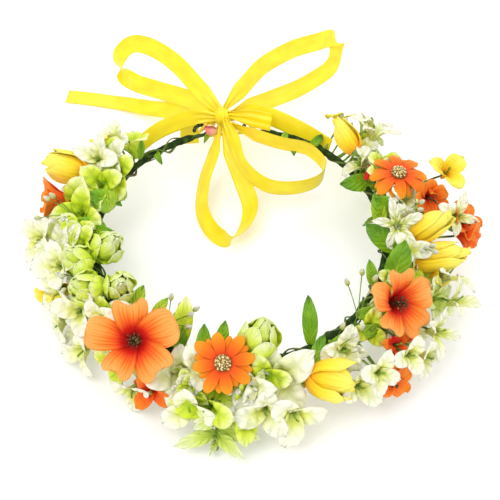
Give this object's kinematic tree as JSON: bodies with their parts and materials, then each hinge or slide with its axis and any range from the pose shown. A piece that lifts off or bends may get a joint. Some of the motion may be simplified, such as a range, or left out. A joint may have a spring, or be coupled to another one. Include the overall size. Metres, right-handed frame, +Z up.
{
  "type": "flower crown",
  "caption": "Open wire hoop wrapped in floral tape with artificial blossoms, buds, hop cones and leaves bound round it, closed at the back by a satin ribbon bow",
  "frame": {"origin": "centre of the hoop in plan, on the surface that the crown rests on", "axes": "+Z up through the head opening, +Y towards the ribbon bow at the back, +X to the right as seen from the front"},
  "size_m": [0.2712, 0.3223, 0.0741],
  "materials": {
    "cream_petal": "stiffened petal fabric",
    "floral_tape": "waxed crepe paper tape",
    "green_coated_wire": "plastic coated wire",
    "hibiscus_petal": "stiffened petal fabric",
    "hop_scale": "stiffened petal fabric",
    "leaf_fabric": "stiffened petal fabric",
    "rosebud_petal": "stiffened petal fabric",
    "stamen_olive": "moulded stamens",
    "stem_plastic": "moulded stem",
    "trumpet_petal": "stiffened petal fabric",
    "yellow_satin": "satin",
    "zinnia_disc": "moulded beads",
    "zinnia_petal": "stiffened petal fabric"
  },
  "bodies": {
    "crown": {"blossom_back_left": "cream_petal", "blossom_front_left": "cream_petal", "blossom_front_middle": "cream_petal", "blossom_front_right": "cream_petal", "blossom_left_low": "cream_petal", "blossom_left_middle": "cream_petal", "blossom_right_edge": "cream_petal", "blossom_right_low": "cream_petal", "blossom_right_top": "cream_petal", "floral_tape": "floral_tape", "hibiscus_left_stem": "stem_plastic", "hibiscus_right_stem": "stem_plastic", "hoop_wire": "green_coated_wire", "hop_front": "hop_scale", "hop_left_lower": "hop_scale", "hop_left_outer": "hop_scale", "hop_left_upper": "hop_scale", "leaf_front_right": "leaf_fabric", "leaf_front_up": "leaf_fabric", "leaf_rest_left": "leaf_fabric", "leaf_rest_right": "leaf_fabric", "leaf_right": "leaf_fabric", "lily_back_right": "cream_petal", "ribbon_knot": "yellow_satin", "ribbon_tie": "yellow_satin", "rosebud_back_left_bud": "rosebud_petal", "rosebud_back_left_stem": "stem_plastic", "rosebud_back_right_bud": "rosebud_petal", "rosebud_back_right_stem": "stem_plastic", "rosebud_front_bud": "rosebud_petal", "rosebud_front_stem": "stem_plastic", "rosebud_low_left": "rosebud_petal", "rosebud_right_bud": "rosebud_petal", "rosebud_right_stem": "stem_plastic", "side_run_left": "yellow_satin", "side_run_right": "yellow_satin", "sprig_front": "leaf_fabric", "tail_short": "yellow_satin", "tail_stub": "yellow_satin", "trumpet_left_stem": "stem_plastic", "trumpet_low_right": "trumpet_petal", "trumpet_right_edge": "trumpet_petal", "trumpet_upper_right": "trumpet_petal", "zinnia_back_stem": "stem_plastic", "zinnia_front_stem": "stem_plastic"},
    "bow_lower": {"loop_lower_front": "yellow_satin", "loop_lower_right": "yellow_satin"},
    "bow_upper": {"loop_upper_left": "yellow_satin", "loop_upper_right": "yellow_satin", "tail_long": "yellow_satin"},
    "hibiscus_left_head": {"hibiscus_left_petals": "hibiscus_petal", "hibiscus_left_stamens": "stamen_olive"},
    "hibiscus_right_head": {"hibiscus_right_petals": "hibiscus_petal", "hibiscus_right_stamens": "stamen_olive"},
    "trumpet_left_head": {"trumpet_left_petals": "trumpet_petal"},
    "zinnia_back_head": {"zinnia_back_disc": "zinnia_disc", "zinnia_back_petals": "zinnia_petal"},
    "zinnia_front_head": {"zinnia_front_disc": "zinnia_disc", "zinnia_front_petals": "zinnia_petal"}
  },
  "joints": [
    {"name": "bow_lower_swing", "type": "hinge", "parent": "crown", "child": "bow_lower", "pos_m": [-0.012, 0.098, 0.039], "axis": [-1, 0, 0], "range_deg": [0, 45]},
    {"name": "bow_upper_swing", "type": "hinge", "parent": "crown", "child": "bow_upper", "pos_m": [-0.012, 0.098, 0.039], "axis": [1, 0, 0], "range_deg": [0, 55]},
    {"name": "hibiscus_left_twist", "type": "hinge", "parent": "crown", "child": "hibiscus_left_head", "pos_m": [-0.06015, -0.08561, 0.041], "axis": [-0.0215, -0.6153, 0.788], "continuous": true},
    {"name": "hibiscus_right_twist", "type": "hinge", "parent": "crown", "child": "hibiscus_right_head", "pos_m": [0.08469, -0.05907, 0.042], "axis": [0.5602, -0.5224, 0.6428], "continuous": true},
    {"name": "trumpet_left_twist", "type": "hinge", "parent": "crown", "child": "trumpet_left_head", "pos_m": [-0.10094, 0.02599, 0.039], "axis": [-0.9879, -0.0691, 0.1392], "continuous": true},
    {"name": "zinnia_back_twist", "type": "hinge", "parent": "crown", "child": "zinnia_back_head", "pos_m": [0.09839, 0.03499, 0.05], "axis": [0.0872, 0, 0.9962], "continuous": true},
    {"name": "zinnia_front_twist", "type": "hinge", "parent": "crown", "child": "zinnia_front_head", "pos_m": [-0.00921, -0.10858, 0.05], "axis": [-0.02, -0.5732, 0.8192], "continuous": true}
  ]
}
